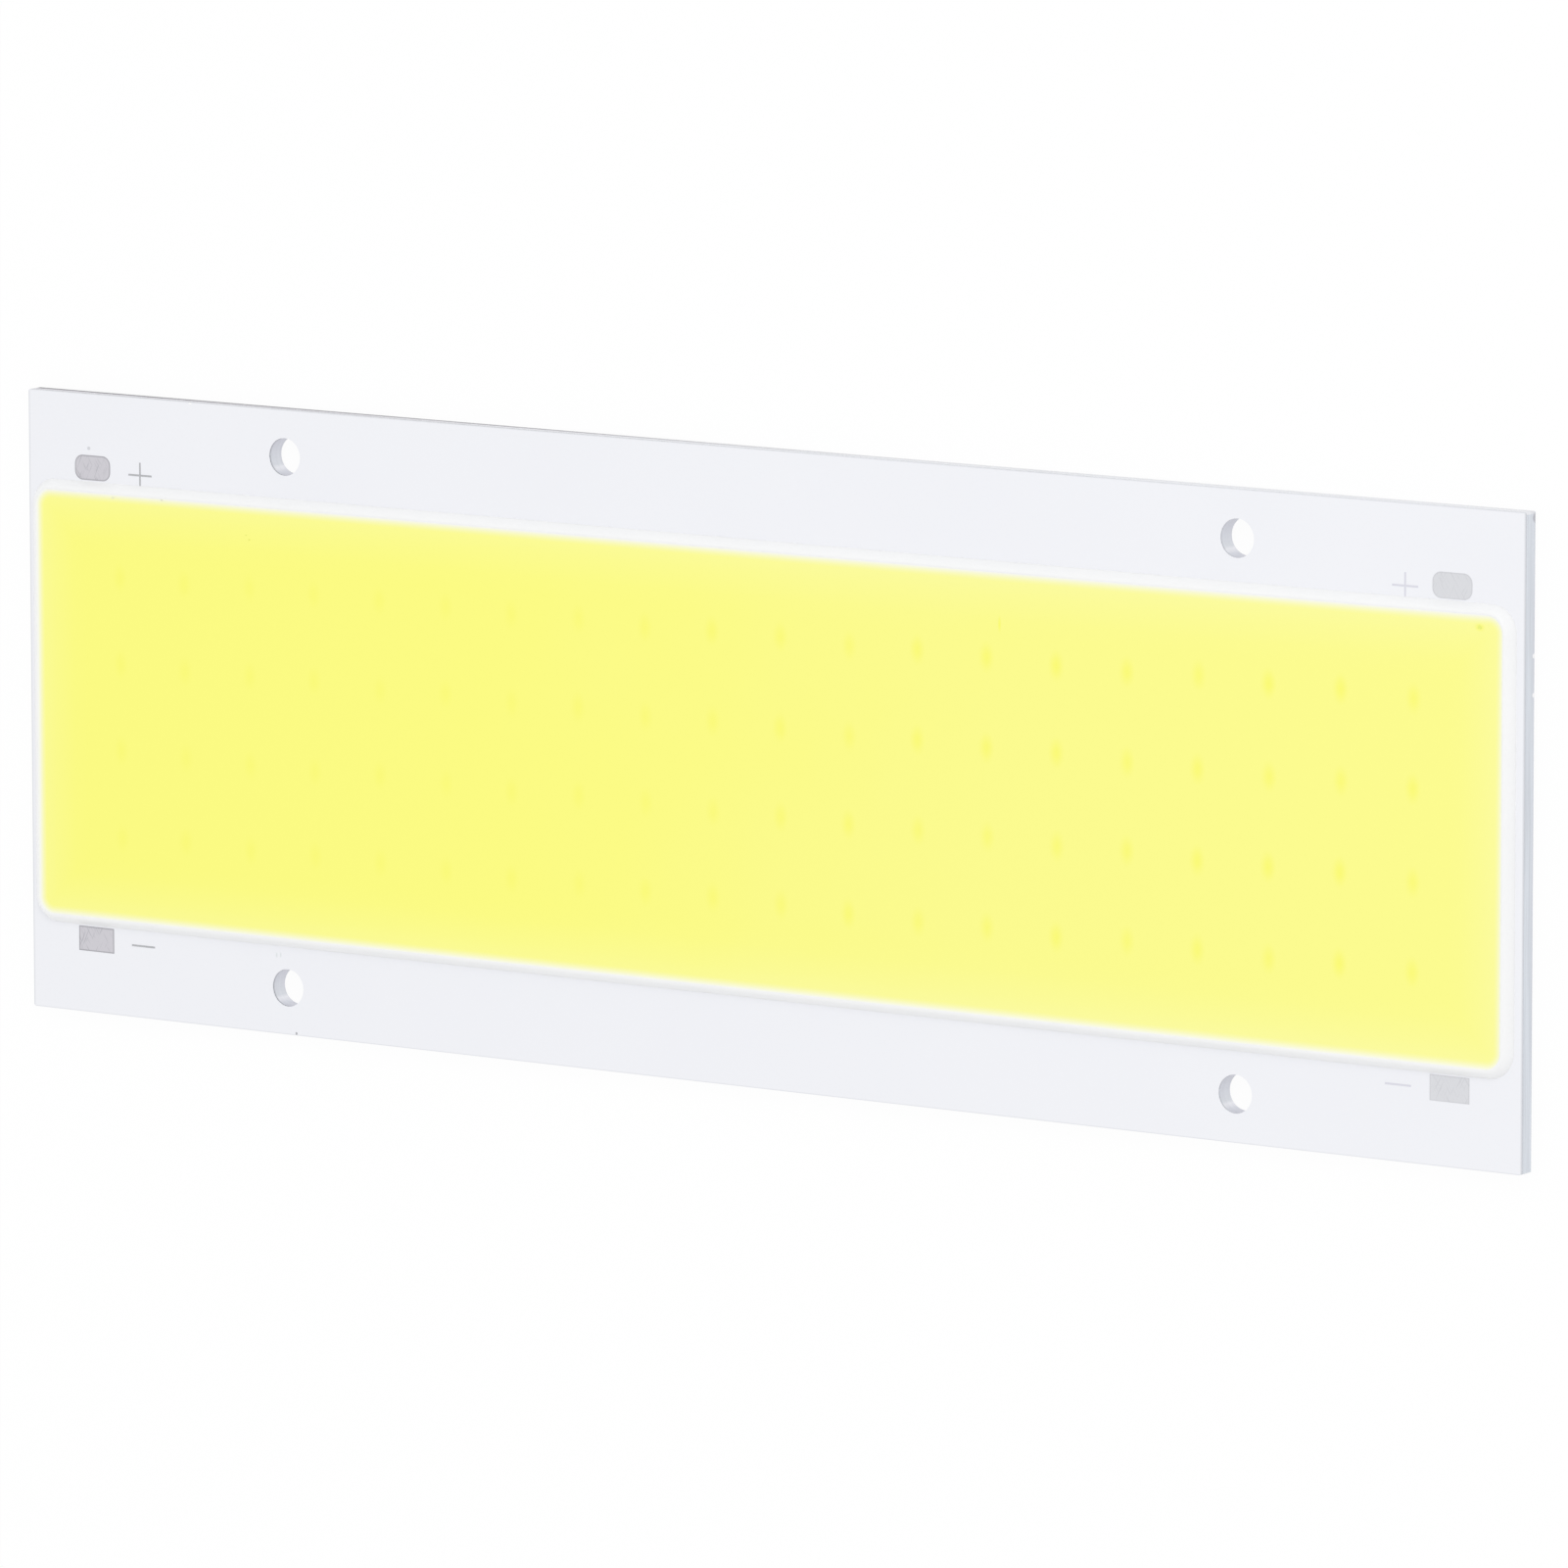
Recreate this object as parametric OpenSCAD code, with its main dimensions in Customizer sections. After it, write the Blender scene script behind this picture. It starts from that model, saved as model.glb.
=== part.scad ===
// Chip-on-board LED light panel: an aluminium-cored board that carries 80 blue LED chips
// under one yellow phosphor fill, held in by a white silicone dam.
//
// Frame: the board lies flat on its heat-sink face. The origin is at the centre of that
// face, X runs along the board, Y across it towards the positive pads, Z out of the lit face.

/* [Board] */
// Length of the board
board_l = 140; // [132:0.5:180]
// Width of the board
board_w = 50; // [47:0.5:70]
// Thickness of the aluminium plate
plate_t = 1.45; // [0.8:0.05:3]
// Radius of the board's four corners, seen from the front
corner_r = 0.2; // [0.1:0.1:1.4]
// Radius rolled onto the plate's back edge as it is punched out
edge_roll_r = 0.3; // [0.1:0.05:0.6]

/* [Screw holes] */
// Diameter of the four screw holes
hole_d = 3; // [2:0.1:3.6]
// Distance between hole centres along the board
hole_pitch_x = 89.2; // [60:0.1:110]
// Distance between hole centres across the board
hole_pitch_y = 42.5; // [41.5:0.1:43]

/* [Layers] */
// Thickness of the insulation between plate and copper
insulation_t = 0.08; // [0.05:0.005:0.2]
// Thickness of the copper foil
copper_t = 0.035; // [0.018:0.001:0.05]
// Thickness of the white solder mask where no copper lies under it
mask_t = 0.07; // [0.06:0.005:0.12]

/* [Tracks] */
// Distance from a chip's centre to the edge of the copper above and below it
land_gap = 1.6; // [1:0.1:1.8]
// Width of the copper bus beside the first and last row of chips
bus_w = 2.2; // [1:0.1:3]
// Copper left beyond the outer chips at each end of a link track
track_overhang = 1.2; // [1:0.1:3]

/* [Solder pads] */
// Length of a solder pad
pad_l = 3.5; // [2:0.1:5]
// Width of a solder pad
pad_w = 2; // [1.6:0.05:2]
// Corner radius of the two positive pads; the negative pads are square
pad_corner_r = 0.75; // [0.1:0.05:0.95]
// Distance from the board's end to a pad's centre
pad_inset_x = 6.35; // [5:0.05:10]
// Distance from the board's long edge to a pad's centre
pad_inset_y = 5.95; // [5.5:0.01:5.95]
// Thickness of the tin on a pad
tin_t = 0.045; // [0.02:0.005:0.1]
// Copper hidden under the mask around a pad
pad_border = 0.2; // [0.1:0.05:0.5]

/* [Chips] */
// Number of chips in each row
chips_per_row = 20; // [4:1:20]
// Distance between chips along a row
chip_pitch_x = 6.375; // [4:0.005:6.4]
// Distance between two rows of chips
chip_pitch_y = 6.97; // [5.5:0.01:7]
// Size of a chip along its row
chip_w = 0.6; // [0.3:0.05:1.2]
// Size of a chip across its row
chip_l = 1.2; // [1:0.05:1.6]
// Thickness of a chip
chip_t = 0.15; // [0.08:0.01:0.2]
// Thickness of the adhesive under a chip
adhesive_t = 0.02; // [0.01:0.005:0.04]
// Size of the mask window round a chip, along its row
window_w = 1.8; // [1.5:0.1:3]
// Size of the mask window round a chip, across its row
window_l = 4.6; // [4.4:0.1:5]

/* [Bond wires] */
// Diameter of the gold bond wire
wire_d = 0.03; // [0.02:0.005:0.05]
// Distance from a chip's centre to the bond on the chip
bond_start = 0.4; // [0.2:0.05:0.45]
// Distance from a chip's centre to the bond on the copper
bond_end = 2; // [1.9:0.05:2.1]
// Rise of the wire's arch over the line between its two bonds
wire_rise = 0.3; // [0.2:0.01:0.35]

/* [Dam and fill] */
// Width of the dam's bead where it meets the mask
dam_w = 1.3; // [1.1:0.05:1.4]
// Height of the dam's bead
dam_h = 0.8; // [0.6:0.05:0.8]
// Bare board between the dam and the board's ends
dam_margin_x = 0.6; // [0.4:0.05:1]
// Bare board between the dam and the board's long edges
dam_margin_y = 7.1; // [7.05:0.05:7.6]
// Radius of the dam's corners along the middle of the bead
dam_corner_r = 1.45; // [0.9:0.05:3]
// Distance that the dam lies off the board's centre, towards the left
dam_offset = 0.15; // [0:0.05:0.3]
// Height of the phosphor fill over the mask
fill_h = 0.72; // [0.65:0.01:0.8]

/* [Hidden] */
$fn = 48;
BEAD_FACETS = 96;
WIRE_FACETS = 24;
ROWS = 4;
CUT = 1;
z_insulation = plate_t;
z_copper = z_insulation + insulation_t;
z_land = z_copper + copper_t;
z_mask = z_copper + mask_t;
z_chip = z_copper + adhesive_t;
z_chip_top = z_chip + chip_t;
pad_x = board_l / 2 - pad_inset_x;
pad_y = board_w / 2 - pad_inset_y;
chip_xs = [for (i = [0 : chips_per_row - 1]) (i - (chips_per_row - 1) / 2) * chip_pitch_x];
track_l = (chips_per_row - 1) * chip_pitch_x + window_w + 2 * track_overhang;
track_w = chip_pitch_y - 2 * land_gap;
bus_l = 2 * pad_x + pad_l;
bus_y = row_y(1) + land_gap;
bead_r = (dam_w * dam_w / 4 + dam_h * dam_h) / (2 * dam_h);
dam_l = board_l - 2 * dam_margin_x - dam_w;
dam_span = board_w - 2 * dam_margin_y - dam_w;
bond_run = bond_end - bond_start;
bond_drop = z_chip_top - z_land;
bond_chord = norm([bond_run, bond_drop]);
arch_r = (bond_chord * bond_chord / 4 + wire_rise * wire_rise) / (2 * wire_rise);
arch_y = (bond_start + bond_end) / 2 - bond_drop / bond_chord * (arch_r - wire_rise);
arch_z = (z_chip_top + z_land) / 2 - bond_run / bond_chord * (arch_r - wire_rise);

// Height of a row of chips across the board; row 1 lies next to the positive bus.
function row_y(row) = ((ROWS + 1) / 2 - row) * chip_pitch_y;

// ---- shapes shared by several pieces ----

// A rectangle about the origin with true round corners.
module rounded_rectangle(length, width, radius) {
    square([length - 2 * radius, width], center = true);
    square([length, width - 2 * radius], center = true);
    for (x = [-1, 1], y = [-1, 1])
        translate([x * (length / 2 - radius), y * (width / 2 - radius)]) circle(r = radius);
}

// The four screw holes, drilled through whatever they are cut from.
module screw_holes() {
    for (x = [-1, 1], y = [-1, 1])
        translate([x * hole_pitch_x / 2, y * hole_pitch_y / 2, -CUT])
            cylinder(d = hole_d, h = plate_t + insulation_t + mask_t + 2 * CUT);
}

// A layer that covers the whole board, with its screw holes.
module board_layer(z, thickness) {
    difference() {
        translate([0, 0, z]) linear_extrude(thickness) rounded_rectangle(board_l, board_w, corner_r);
        screw_holes();
    }
}

// The outline of a bus: a bar beside the chips, and a neck to each of its two pads.
// side is 1 for the positive bus and -1 for the negative one.
module bus_outline(side) {
    rotate(side > 0 ? 0 : 180) {
        translate([-bus_l / 2, bus_y]) square([bus_l, bus_w]);
        for (x = [-1, 1]) {
            translate([x * pad_x - pad_l / 2, bus_y]) square([pad_l, pad_y - bus_y]);
            translate([x * pad_x, pad_y])
                square([pad_l + 2 * pad_border, pad_w + 2 * pad_border], center = true);
        }
    }
}

// The outline of the copper between a row and the next one.
module track_outline(row) {
    translate([0, (row_y(row) + row_y(row + 1)) / 2]) square([track_l, track_w], center = true);
}

module positive_pad_outline(end) {
    translate([end * pad_x, pad_y]) rounded_rectangle(pad_l, pad_w, pad_corner_r);
}

module negative_pad_outline(end) {
    translate([end * pad_x, -pad_y]) square([pad_l, pad_w], center = true);
}

// The half-round bead of the dam, with its middle on the Y axis.
module bead_profile() {
    intersection() {
        translate([0, dam_h - bead_r]) circle(r = bead_r, $fn = BEAD_FACETS);
        translate([-dam_w, 0]) square([2 * dam_w, dam_h + CUT]);
    }
}

// The outlines of the windows or of the chips in a row.
module row_outline(row, width, length) {
    for (x = chip_xs) translate([x, row_y(row)]) square([width, length], center = true);
}

// ---- the board ----

module base_plate() {
    color("silver") difference() {
        intersection() {
            linear_extrude(plate_t) rounded_rectangle(board_l, board_w, corner_r);
            rotate([90, 0, 90]) linear_extrude(board_l, center = true) rolled_section(board_w);
            rotate([90, 0, 0]) linear_extrude(board_w, center = true) rolled_section(board_l);
        }
        screw_holes();
    }
}

// The plate's section, with the two back edges rolled round.
module rolled_section(width) {
    translate([-width / 2, edge_roll_r]) square([width, plate_t - edge_roll_r]);
    translate([-width / 2 + edge_roll_r, 0]) square([width - 2 * edge_roll_r, plate_t]);
    for (x = [-1, 1]) translate([x * (width / 2 - edge_roll_r), edge_roll_r]) circle(r = edge_roll_r);
}

module insulation_layer() {
    color("wheat") board_layer(z_insulation, insulation_t);
}

// The mask fills the gaps between the tracks and covers them, but not the pads and the chips.
module solder_mask() {
    color("ghostwhite") difference() {
        board_layer(z_copper, mask_t);
        translate([0, 0, z_copper - CUT]) linear_extrude(copper_t + CUT) {
            bus_outline(1);
            bus_outline(-1);
            for (row = [1 : ROWS - 1]) track_outline(row);
        }
        translate([0, 0, z_copper]) linear_extrude(mask_t + CUT) {
            for (end = [-1, 1]) {
                positive_pad_outline(end);
                negative_pad_outline(end);
            }
            for (row = [1 : ROWS]) row_outline(row, window_w, window_l);
        }
    }
}

module bus(side) {
    color("peru") translate([0, 0, z_copper]) linear_extrude(copper_t) bus_outline(side);
}

module link_track(row) {
    color("peru") translate([0, 0, z_copper]) linear_extrude(copper_t) track_outline(row);
}

module positive_pad(end) {
    color("lightgray") translate([0, 0, z_land]) linear_extrude(tin_t) positive_pad_outline(end);
}

module negative_pad(end) {
    color("lightgray") translate([0, 0, z_land]) linear_extrude(tin_t) negative_pad_outline(end);
}

// ---- the light source ----

module chip_adhesive_row(row) {
    color("white") chip_blocks(row, z_copper, adhesive_t);
}

module led_chips_row(row) {
    color("lightsteelblue") chip_blocks(row, z_chip, chip_t);
}

module chip_blocks(row, z, thickness) {
    translate([0, 0, z]) linear_extrude(thickness) row_outline(row, chip_w, chip_l);
}

// Two wires a chip: one to the copper above it and one to the copper below.
module bond_wires_row(row) {
    color("gold") for (x = chip_xs, side = [-1, 1])
        translate([x, row_y(row), 0]) rotate(side > 0 ? 0 : 180) bond_wire();
}

// One arch of round wire, cut flush with the chip's top and with the copper.
module bond_wire() {
    difference() {
        translate([0, arch_y, arch_z]) rotate([90, 0, 90])
            rotate_extrude(angle = 180) translate([arch_r, 0]) circle(d = wire_d, $fn = WIRE_FACETS);
        translate([-CUT, arch_y - CUT - arch_r, z_land - 2 * arch_r])
            cube([2 * CUT, 2 * (arch_r + CUT), 2 * arch_r]);
        translate([-CUT, arch_y - CUT - arch_r, z_land - CUT])
            cube([2 * CUT, arch_r + CUT, z_chip_top - z_land + CUT]);
    }
}

// ---- the dam and what it holds ----

module dam() {
    color("white") translate([-dam_offset, 0, z_mask]) {
        for (side = [-1, 1]) {
            translate([0, side * dam_span / 2, 0]) rotate([90, 0, 90])
                linear_extrude(dam_l - 2 * dam_corner_r, center = true) bead_profile();
            translate([side * dam_l / 2, 0, 0]) rotate([90, 0, 0])
                linear_extrude(dam_span - 2 * dam_corner_r, center = true) bead_profile();
            for (turn = [0, 90])
                rotate(turn + (side > 0 ? 0 : 180))
                    dam_corner(turn == 0 ? [dam_l, dam_span] : [dam_span, dam_l]);
        }
    }
}

// The quarter turn of the bead at the corner of a rectangle of the size given.
module dam_corner(size) {
    translate([size[0] / 2 - dam_corner_r, size[1] / 2 - dam_corner_r, 0])
        rotate_extrude(angle = 90) translate([dam_corner_r, 0]) bead_profile();
}

// The fill runs into every window of the mask, and lies round the chips and their wires.
module phosphor_fill() {
    color("khaki") difference() {
        union() {
            translate([-dam_offset, 0, z_mask]) linear_extrude(fill_h)
                rounded_rectangle(dam_l, dam_span, dam_corner_r);
            for (row = [1 : ROWS]) {
                translate([0, 0, z_land]) linear_extrude(mask_t - copper_t)
                    row_outline(row, window_w, window_l);
                translate([0, 0, z_copper]) linear_extrude(mask_t)
                    row_outline(row, window_w, 2 * land_gap);
            }
        }
        dam();
        for (row = [1 : ROWS]) {
            chip_blocks(row, z_copper, adhesive_t + chip_t);
            bond_wires_row(row);
        }
    }
}

base_plate();
insulation_layer();
solder_mask();
bus(1);  // positive_bus
bus(-1);  // negative_bus
link_track(1);  // link_track_1
link_track(2);  // link_track_2
link_track(3);  // link_track_3
positive_pad(-1);  // positive_pad_left
positive_pad(1);  // positive_pad_right
negative_pad(-1);  // negative_pad_left
negative_pad(1);  // negative_pad_right
chip_adhesive_row(1);  // chip_adhesive_row_1
chip_adhesive_row(2);  // chip_adhesive_row_2
chip_adhesive_row(3);  // chip_adhesive_row_3
chip_adhesive_row(4);  // chip_adhesive_row_4
led_chips_row(1);  // led_chips_row_1
led_chips_row(2);  // led_chips_row_2
led_chips_row(3);  // led_chips_row_3
led_chips_row(4);  // led_chips_row_4
bond_wires_row(1);  // bond_wires_row_1
bond_wires_row(2);  // bond_wires_row_2
bond_wires_row(3);  // bond_wires_row_3
bond_wires_row(4);  // bond_wires_row_4
dam();
phosphor_fill();
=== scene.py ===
import math

import bmesh
import bpy
from mathutils import Euler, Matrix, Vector, noise


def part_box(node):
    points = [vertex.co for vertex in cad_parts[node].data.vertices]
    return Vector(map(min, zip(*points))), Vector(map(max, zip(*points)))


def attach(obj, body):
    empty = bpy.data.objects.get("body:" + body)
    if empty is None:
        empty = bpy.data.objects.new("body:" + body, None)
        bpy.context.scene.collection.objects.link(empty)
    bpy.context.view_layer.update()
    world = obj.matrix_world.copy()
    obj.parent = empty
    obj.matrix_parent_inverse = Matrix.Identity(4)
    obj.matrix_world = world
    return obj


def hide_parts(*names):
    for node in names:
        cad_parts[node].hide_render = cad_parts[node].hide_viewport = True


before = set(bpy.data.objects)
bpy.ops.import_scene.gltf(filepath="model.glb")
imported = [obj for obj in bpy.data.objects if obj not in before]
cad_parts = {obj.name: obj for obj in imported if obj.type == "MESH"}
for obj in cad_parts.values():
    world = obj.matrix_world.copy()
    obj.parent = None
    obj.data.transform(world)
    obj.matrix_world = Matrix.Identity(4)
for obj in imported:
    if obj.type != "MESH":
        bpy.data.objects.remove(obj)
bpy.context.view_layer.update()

MM = 0.001


# ---- Camera ----
# A long lens above the board's right-hand end, looking down on the lit face.
LENS_MM = 315.62
SENSOR_MM = 36
CAMERA_SWING = 34.396
CAMERA_TILT = 8.45
CAMERA_ROLL = -0.075
CAMERA_FROM_FACE = Vector((2.62, -1.16, 1064.23)) * MM
NEAREST_M = 0.05
FARTHEST_M = 20

face_centre = Vector((0, 0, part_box("solder_mask")[1][2]))
turn = Euler((math.radians(-CAMERA_TILT), math.radians(CAMERA_SWING), math.radians(CAMERA_ROLL)), "ZXY")
bpy.ops.object.select_all(action="DESELECT")
bpy.ops.object.camera_add(location=face_centre + turn.to_matrix() @ CAMERA_FROM_FACE)
camera = bpy.context.object
camera.name = "camera"
camera.rotation_mode = "ZXY"
camera.rotation_euler = turn
camera.data.lens = LENS_MM
camera.data.sensor_width = SENSOR_MM
camera.data.clip_start = NEAREST_M
camera.data.clip_end = FARTHEST_M
bpy.context.scene.camera = camera


# ---- Base plate ----
# A sheet of aluminium, 1.45 mm thick, punched out with its four screw holes. It carries
# every layer and takes the heat to the lamp's heat sink, which the bare back is screwed against.
SHEAR_BRIGHT = "DFE4EB"
SHEAR_DULL = "D4D8DF"
FRACTURE_GREY = "97969B"
# Painted shade along the long edge beside the pads: darker at the left, lighter at the right.
SHADED_LEFT_EDGE = "DAD8DE"
LIT_RIGHT_EDGE = "EDEEF2"
# Painted shade and a painted highlight on the hole walls, by the way each wall faces.
HOLE_SHADE_TONES = ((-1.0, "CBCCD6"), (-0.3, "D6D8E0"), (0.5, "DDE0E6"), (0.64, "EDEEF3"), (0.74, "E8E9EF"),
              (0.86, "DADCE4"), (1.0, "CFD0DA"))
ROLLED_BRIGHT = "D6D9DE"
ROLLED_DULL = "BFC2C8"
SHEAR_LINE_MM = 0.16
SHEAR_PER_METRE = 110
ROLLING_LINE_MM = 0.35
ROLLING_PER_METRE = 25
RELIEF_DEPTH = 0.02 * MM
EDGE_SHADE_FROM_X = -60 * MM
EDGE_SHADE_TO_X = 10 * MM
TEAR_GRAIN_MM = 0.5
TEAR_RAGGED = 0.5 * MM
TEAR_TOP_Z = 1.2 * MM
TEAR_FULL_Z = 0.95 * MM
TEAR_END_X = 25 * MM
TEAR_FULL_X = -50 * MM
FACES_OUT = 0.1
FACES_BACK = -0.7
LONG_EDGE_Y = 24.5 * MM
HOLE_REACH = 60 * MM
SIDE_NICKS = (
    ((70, 14.1, 0.3), 0.22, "FBFBFC"),
    ((70, 11.15, 0.3), 0.22, "FBFBFC"),
    ((70, 24.5, 0.2), 0.45, "BDBDC4"),
)


def linear(colour):
    """An sRGB hex colour as the linear RGBA that a shader wants."""
    values = [int(colour[i:i + 2], 16) / 255 for i in (0, 2, 4)]
    return [v / 12.92 if v <= 0.04045 else ((v + 0.055) / 1.055) ** 2.4 for v in values] + [1]


def add_node(material, kind, inputs=None, **settings):
    """Adds a node, sets its properties, and fills its sockets from values or other nodes' outputs."""
    node = material.node_tree.nodes.new(kind)
    for name, value in settings.items():
        setattr(node, name, value)
    for socket, value in (inputs or {}).items():
        if isinstance(value, bpy.types.NodeSocket):
            material.node_tree.links.new(value, node.inputs[socket])
        else:
            node.inputs[socket].default_value = value
    return node


def new_material(name, **surface):
    """A material with one Principled shader, whose plain sockets are set from surface."""
    material = bpy.data.materials.new(name)
    material.use_nodes = True
    shader = material.node_tree.nodes["Principled BSDF"]
    for socket, value in surface.items():
        shader.inputs[socket.replace("_", " ")].default_value = value
    return material, shader


def dress(node_name, material):
    """Gives a CAD node its finish."""
    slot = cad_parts[node_name].material_slots[0]
    slot.link = "OBJECT"
    slot.material = material


aluminium, shader = new_material("mill_aluminium")
place = add_node(aluminium, "ShaderNodeTexCoord")
spot = add_node(aluminium, "ShaderNodeSeparateXYZ", {0: place.outputs["Object"]})
facing = add_node(aluminium, "ShaderNodeSeparateXYZ", {0: place.outputs["Normal"]})
# The punch leaves shear lines that run round the edge, so they change through the thickness.
along_edge = add_node(aluminium, "ShaderNodeMapping",
                      {"Vector": place.outputs["Object"],
                       "Scale": (SHEAR_PER_METRE, SHEAR_PER_METRE, 1 / (SHEAR_LINE_MM * MM))})
shear = add_node(aluminium, "ShaderNodeTexNoise",
                 {"Vector": along_edge.outputs[0], "Scale": 1.0, "Detail": 3.0})
shear_tone = add_node(aluminium, "ShaderNodeMapRange",
                      {"Value": shear.outputs[0], "From Min": 0.35, "From Max": 0.6})
shear_colour = add_node(aluminium, "ShaderNodeMix", {0: shear_tone.outputs[0], 6: linear(SHEAR_DULL),
                                                     7: linear(SHEAR_BRIGHT)}, data_type="RGBA")
# The long edge beside the positive pads is painted darker towards the left and lighter towards the
# right: painted shade for how the light falls along it. At its left-hand end the last part of the
# thickness broke away, and is matt and dark.
along = add_node(aluminium, "ShaderNodeMapRange",
                 {"Value": spot.outputs[0], "From Min": EDGE_SHADE_FROM_X, "From Max": EDGE_SHADE_TO_X})
painted_edge_shade = add_node(aluminium, "ShaderNodeMix", {0: along.outputs[0], 6: linear(SHADED_LEFT_EDGE),
                                                  7: linear(LIT_RIGHT_EDGE)}, data_type="RGBA")
grain = add_node(aluminium, "ShaderNodeTexNoise",
                 {"Vector": place.outputs["Object"], "Scale": 1 / (TEAR_GRAIN_MM * MM), "Detail": 3.0})
height = add_node(aluminium, "ShaderNodeMath", {0: grain.outputs[0], 1: TEAR_RAGGED, 2: spot.outputs[2]},
                  operation="MULTIPLY_ADD")
broken = add_node(aluminium, "ShaderNodeMapRange",
                  {"Value": height.outputs[0], "From Min": TEAR_TOP_Z, "From Max": TEAR_FULL_Z})
torn = add_node(aluminium, "ShaderNodeMapRange",
                {"Value": spot.outputs[0], "From Min": TEAR_END_X, "From Max": TEAR_FULL_X, "To Min": 0.12})
tear_share = add_node(aluminium, "ShaderNodeMath", {0: broken.outputs[0], 1: torn.outputs[0]},
                      operation="MULTIPLY")
long_edge = add_node(aluminium, "ShaderNodeMix", {0: tear_share.outputs[0], 6: painted_edge_shade.outputs[2],
                                                  7: linear(FRACTURE_GREY)}, data_type="RGBA")
# In the holes each wall is painted shade, duller than the edges, but for one painted highlight, a
# bright streak near the lower end. The tone goes by the way the wall faces across the board, for how
# the light falls in the hole.
round_wall = add_node(aluminium, "ShaderNodeMapRange", {"Value": facing.outputs[1], "From Min": -1.0})
hole_shade_ramp = add_node(aluminium, "ShaderNodeValToRGB", {"Fac": round_wall.outputs[0]})
stops = hole_shade_ramp.color_ramp.elements
stops[0].position, stops[1].position = 0, 1
stops[0].color, stops[1].color = linear(HOLE_SHADE_TONES[0][1]), linear(HOLE_SHADE_TONES[-1][1])
for level, tone in HOLE_SHADE_TONES[1:-1]:
    stops.new((level + 1) / 2).color = linear(tone)
lined = add_node(aluminium, "ShaderNodeMapRange", {"Value": shear.outputs[0], "From Min": 0.3,
                                                   "From Max": 0.7, "To Min": 0.96, "To Max": 1.02})
hole_shade_colour = add_node(aluminium, "ShaderNodeHueSaturation",
                       {"Color": hole_shade_ramp.outputs[0], "Value": lined.outputs[0]})
mirrored = add_node(aluminium, "ShaderNodeVectorMath", {0: place.outputs["Object"]}, operation="ABSOLUTE")
in_board = add_node(aluminium, "ShaderNodeSeparateXYZ", {0: mirrored.outputs[0]})
in_hole = add_node(aluminium, "ShaderNodeMath", {0: in_board.outputs[0], 1: HOLE_REACH},
                   operation="LESS_THAN")
within = add_node(aluminium, "ShaderNodeMath", {0: in_board.outputs[1], 1: LONG_EDGE_Y},
                  operation="LESS_THAN")
in_hole = add_node(aluminium, "ShaderNodeMath", {0: in_hole.outputs[0], 1: within.outputs[0]},
                   operation="MULTIPLY")
wall_colour = add_node(aluminium, "ShaderNodeMix", {0: in_hole.outputs[0], 6: shear_colour.outputs[2],
                                                    7: hole_shade_colour.outputs[0]}, data_type="RGBA")
beside_pads = add_node(aluminium, "ShaderNodeMath", {0: spot.outputs[1], 1: LONG_EDGE_Y},
                       operation="GREATER_THAN")
facing_out = add_node(aluminium, "ShaderNodeMath", {0: facing.outputs[1], 1: FACES_OUT},
                      operation="GREATER_THAN")
on_long_edge = add_node(aluminium, "ShaderNodeMath", {0: beside_pads.outputs[0], 1: facing_out.outputs[0]},
                        operation="MULTIPLY")
tear = add_node(aluminium, "ShaderNodeMath", {0: tear_share.outputs[0], 1: on_long_edge.outputs[0]},
                operation="MULTIPLY")
edge_colour = add_node(aluminium, "ShaderNodeMix", {0: on_long_edge.outputs[0], 6: wall_colour.outputs[2],
                                                    7: long_edge.outputs[2]}, data_type="RGBA")
# Two small bright nicks in the right-hand end, and a dull burr at its upper back corner.
for nick_mm, radius_mm, tone in SIDE_NICKS:
    nick_at = [value * MM for value in nick_mm]
    away = add_node(aluminium, "ShaderNodeVectorMath", {0: place.outputs["Object"], 1: nick_at},
                    operation="DISTANCE")
    nicked = add_node(aluminium, "ShaderNodeMapRange",
                      {"Value": away.outputs["Value"], "From Min": radius_mm * MM,
                       "From Max": 0.6 * radius_mm * MM})
    edge_colour = add_node(aluminium, "ShaderNodeMix", {0: nicked.outputs[0], 6: edge_colour.outputs[2],
                                                        7: linear(tone)}, data_type="RGBA")
# Rolling lines run along the sheet, and show on the bare back.
along_sheet = add_node(aluminium, "ShaderNodeMapping",
                       {"Vector": place.outputs["Object"],
                        "Scale": (ROLLING_PER_METRE, 1 / (ROLLING_LINE_MM * MM), ROLLING_PER_METRE)})
rolling = add_node(aluminium, "ShaderNodeTexNoise",
                   {"Vector": along_sheet.outputs[0], "Scale": 1.0, "Detail": 4.0})
rolling_tone = add_node(aluminium, "ShaderNodeMapRange",
                        {"Value": rolling.outputs[0], "From Min": 0.3, "From Max": 0.7})
back_colour = add_node(aluminium, "ShaderNodeMix", {0: rolling_tone.outputs[0], 6: linear(ROLLED_DULL),
                                                    7: linear(ROLLED_BRIGHT)}, data_type="RGBA")
on_back = add_node(aluminium, "ShaderNodeMath", {0: facing.outputs[2], 1: FACES_BACK},
                   operation="LESS_THAN")
plate_colour = add_node(aluminium, "ShaderNodeMix", {0: on_back.outputs[0], 6: edge_colour.outputs[2],
                                                     7: back_colour.outputs[2]}, data_type="RGBA")
aluminium.node_tree.links.new(plate_colour.outputs[2], shader.inputs["Base Color"])
metal = add_node(aluminium, "ShaderNodeMapRange", {"Value": tear.outputs[0], "To Min": 1.0, "To Max": 0.15})
aluminium.node_tree.links.new(metal.outputs[0], shader.inputs["Metallic"])
rough = add_node(aluminium, "ShaderNodeMapRange", {"Value": tear.outputs[0], "To Min": 0.38, "To Max": 0.8})
aluminium.node_tree.links.new(rough.outputs[0], shader.inputs["Roughness"])
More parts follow.
